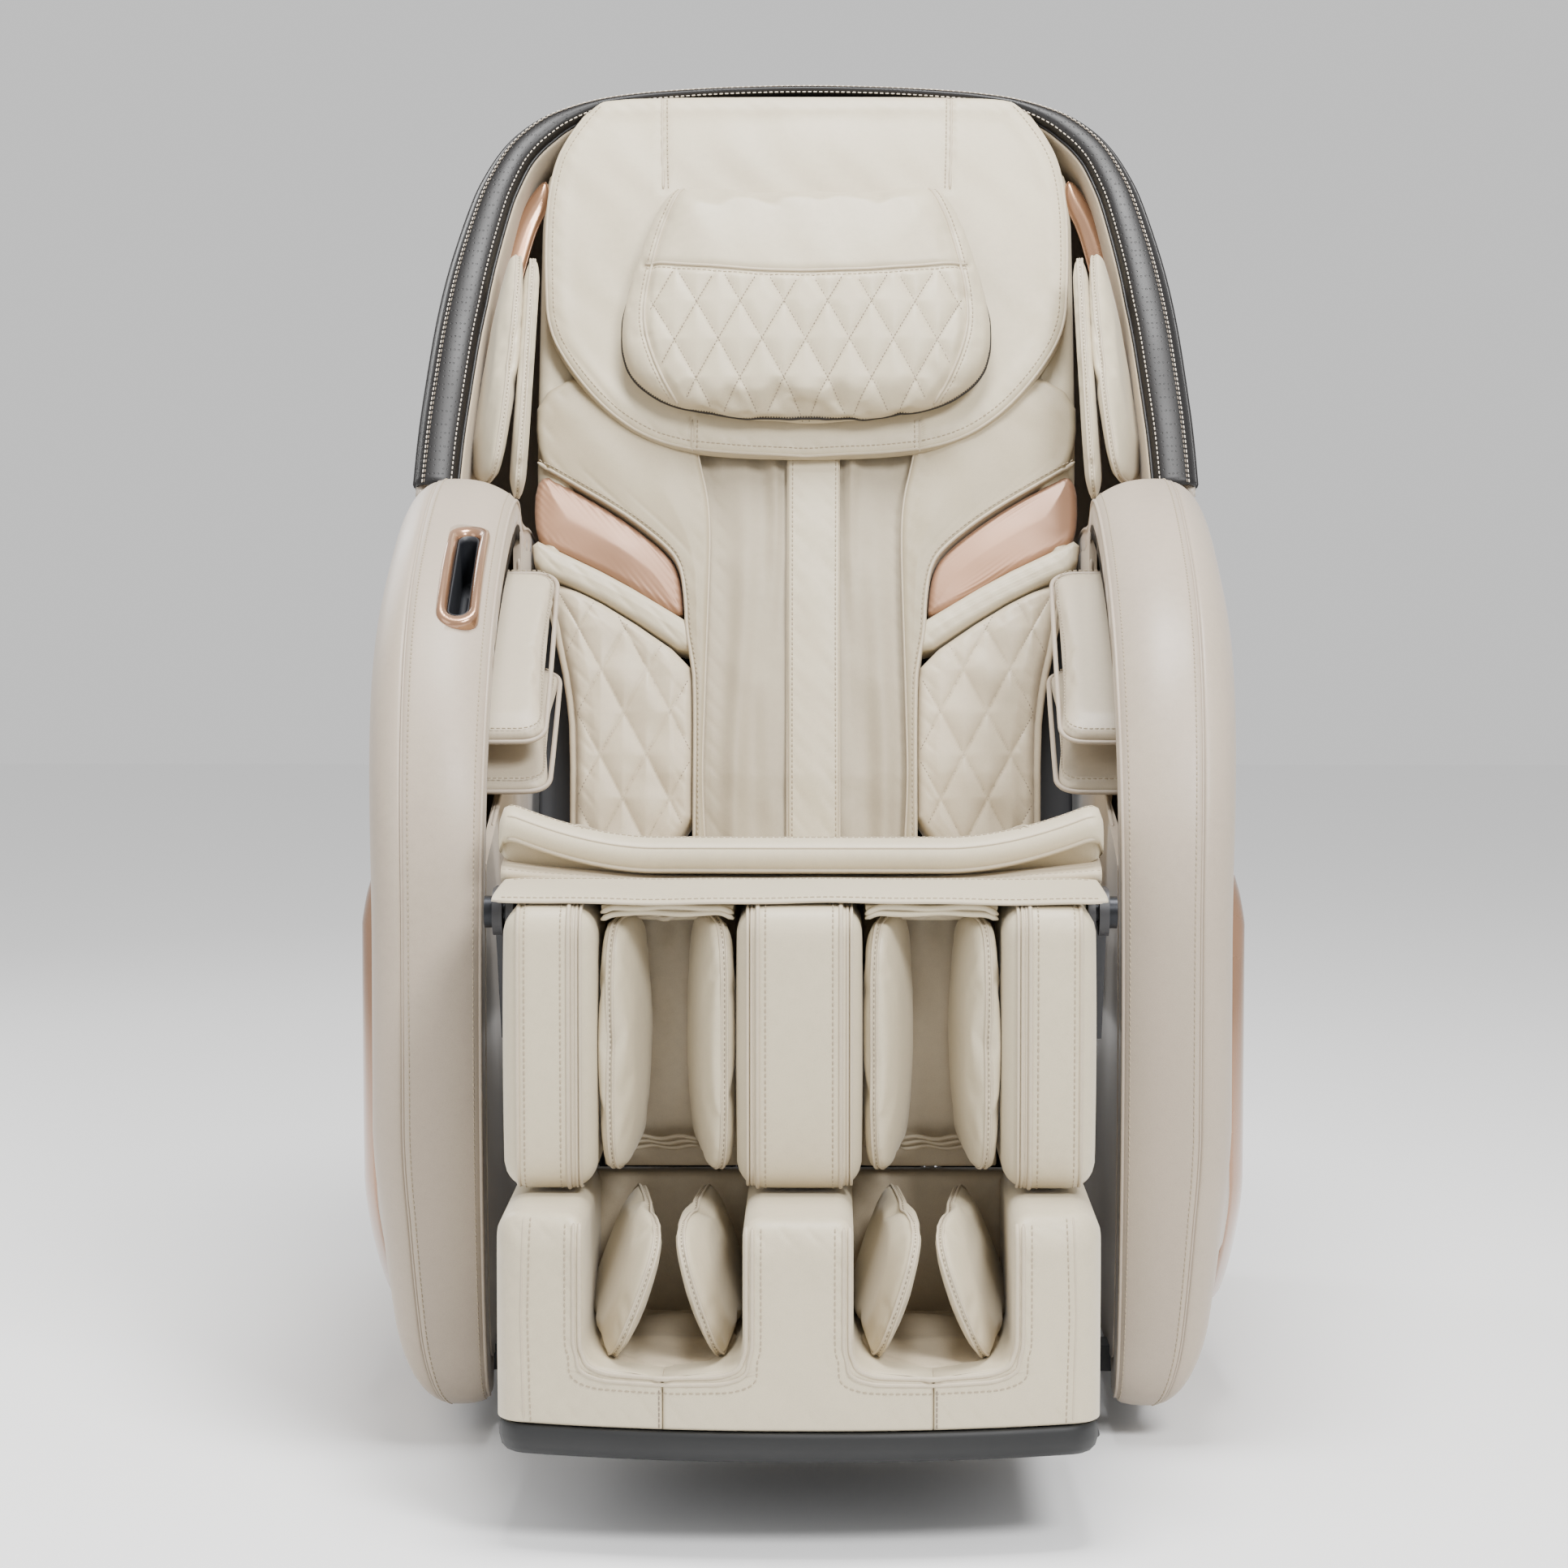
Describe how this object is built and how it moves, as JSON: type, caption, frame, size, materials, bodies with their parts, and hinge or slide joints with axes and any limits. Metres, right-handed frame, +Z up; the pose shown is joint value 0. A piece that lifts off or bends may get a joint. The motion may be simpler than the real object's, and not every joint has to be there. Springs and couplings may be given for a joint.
{
  "type": "reclining massage chair",
  "caption": "Padded massage chair with tall side arms, shelled back with head pillow and shoulder airbags, tilting seat, lifting leg rest with calf channels and foot wells, on a steel base.",
  "frame": {"origin": "on the floor, under the middle of the chair's bounding box", "axes": "+X across the chair to the sitter's left, -Y the way the sitter faces, +Z up"},
  "size_m": [0.808, 1.3072, 1.2078],
  "materials": {
    "leather_cream": "soft pebbled synthetic leather",
    "leather_arm": "soft pebbled synthetic leather, taupe",
    "leather_grey": "perforated grey synthetic leather",
    "shell_plastic": "satin moulded plastic",
    "rose_gloss": "rose-gold lacquer",
    "grey_plastic": "fine texture",
    "black_plastic": "fine texture",
    "frame_steel": "black powder coat",
    "bright_steel": "zinc plated",
    "aluminium_parts": "cast",
    "wheel_rubber": "matt",
    "roller_rubber": "matt",
    "channel_fabric": "loose stretch cover"
  },
  "bodies": {
    "base": {"base_frame": "frame_steel", "levelling_feet": "black_plastic", "wheel_axles": "bright_steel", "base_rear_cover": "grey_plastic", "power_panel": "black_plastic", "control_box": "grey_plastic", "air_pump": "aluminium_parts", "pivot_bolts": "bright_steel", "right_arm_side_panel": "shell_plastic", "left_arm_side_panel": "shell_plastic", "right_arm_band": "leather_arm", "left_arm_band": "leather_arm", "right_arm_inner_panel": "leather_arm", "left_arm_inner_panel": "leather_arm", "right_arm_trim": "rose_gloss", "left_arm_trim": "rose_gloss", "right_arm_airbags": "leather_arm", "left_arm_airbags": "leather_arm", "phone_pocket": "rose_gloss", "tilt_actuator_tube": "aluminium_parts"},
    "transport_wheel_r": {"transport_wheel_right": "wheel_rubber"},
    "transport_wheel_l": {"transport_wheel_left": "wheel_rubber"},
    "switch": {"power_switch": "black_plastic"},
    "tilt_rod": {"tilt_actuator_rod": "bright_steel"},
    "seat": {"seat_frame": "frame_steel", "seat_pan": "frame_steel", "seat_cushion": "leather_cream", "seat_lower_lip": "leather_cream", "knee_flap_upper": "leather_cream", "legrest_pivot_bolts": "bright_steel", "seat_actuator_tubes": "aluminium_parts"},
    "recline_rod": {"recline_actuator_rod": "bright_steel"},
    "legrest_rod": {"legrest_actuator_rod": "bright_steel"},
    "back": {"back_frame": "frame_steel", "guide_rails": "bright_steel", "back_shell": "shell_plastic", "back_lower_cover": "grey_plastic", "shell_rim_band": "leather_grey", "shell_accent_panels": "rose_gloss", "right_shoulder_airbags": "leather_cream", "left_shoulder_airbags": "leather_cream", "right_back_bolster": "leather_cream", "left_back_bolster": "leather_cream", "back_center_cover": "channel_fabric"},
    "head": {"head_pad": "leather_cream", "head_pillow": "leather_cream"},
    "carriage": {"massage_carriage": "frame_steel", "massage_arms": "aluminium_parts", "massage_heads": "roller_rubber"},
    "shaft": {"kneading_shaft": "bright_steel"},
    "legrest": {"legrest_frame": "frame_steel", "calf_columns": "leather_cream", "calf_back_pad": "channel_fabric", "calf_airbags": "leather_cream", "knee_flap_lower": "leather_cream"},
    "footrest": {"foot_base": "grey_plastic", "foot_block": "leather_cream", "foot_airbags": "leather_cream"},
    "rollers_r": {"foot_rollers_right": "roller_rubber"},
    "rollers_l": {"foot_rollers_left": "roller_rubber"}
  },
  "joints": [
    {"name": "seat_tilt", "type": "hinge", "parent": "base", "child": "seat", "pos_m": [0, 0.1964, 0.36], "axis": [-1, 0, 0], "range_deg": [0, 10]},
    {"name": "back_recline", "type": "hinge", "parent": "seat", "child": "back", "pos_m": [0, 0.1964, 0.36], "axis": [-1, 0, 0], "range_deg": [0, 40]},
    {"name": "legrest_lift", "type": "hinge", "parent": "seat", "child": "legrest", "pos_m": [0, -0.3936, 0.462], "axis": [-1, 0, 0], "range_deg": [0, 80]},
    {"name": "foot_extension", "type": "slide", "parent": "legrest", "child": "footrest", "axis": [0, 0, -1], "range_m": [0, 0.06]},
    {"name": "massage_carriage_travel", "type": "slide", "parent": "back", "child": "carriage", "axis": [0, 0.342, 0.9397], "range_m": [-0.135, 0.355]},
    {"name": "kneading_shaft_spin", "type": "hinge", "parent": "carriage", "child": "shaft", "pos_m": [0, 0.30645, 0.67112], "axis": [-1, 0, 0], "continuous": true},
    {"name": "head_pad_flip", "type": "hinge", "parent": "back", "child": "head", "pos_m": [0, 0.37458, 1.16884], "axis": [-1, 0, 0], "range_deg": [0, 110]},
    {"name": "foot_roller_right_spin", "type": "hinge", "parent": "footrest", "child": "rollers_r", "pos_m": [0, -0.5136, 0.111], "axis": [-1, 0, 0], "continuous": true},
    {"name": "foot_roller_left_spin", "type": "hinge", "parent": "footrest", "child": "rollers_l", "pos_m": [0, -0.5136, 0.111], "axis": [-1, 0, 0], "continuous": true},
    {"name": "transport_wheel_right_spin", "type": "hinge", "parent": "base", "child": "transport_wheel_r", "pos_m": [0, 0.4514, 0.039], "axis": [-1, 0, 0], "continuous": true},
    {"name": "transport_wheel_left_spin", "type": "hinge", "parent": "base", "child": "transport_wheel_l", "pos_m": [0, 0.4514, 0.039], "axis": [-1, 0, 0], "continuous": true},
    {"name": "power_switch_rock", "type": "hinge", "parent": "base", "child": "switch", "pos_m": [0.027, 0.5374, 0.13], "axis": [-1, 0, 0], "range_deg": [-8, 8]},
    {"name": "tilt_rod_slide", "type": "slide", "parent": "base", "child": "tilt_rod", "axis": [0, 0, 1], "range_m": [0, 0.0735]},
    {"name": "recline_rod_slide", "type": "slide", "parent": "seat", "child": "recline_rod", "axis": [0, -1, 0], "range_m": [0, 0.069]},
    {"name": "legrest_rod_slide", "type": "slide", "parent": "seat", "child": "legrest_rod", "axis": [0, -1, 0], "range_m": [0, 0.1295]}
  ],
  "couplings": [
    {"joint": "tilt_rod_slide", "follows": "seat_tilt", "m_per_rad": 0.41655},
    {"joint": "recline_rod_slide", "follows": "back_recline", "m_per_rad": 0.09798},
    {"joint": "legrest_rod_slide", "follows": "legrest_lift", "m_per_rad": 0.09208}
  ]
}
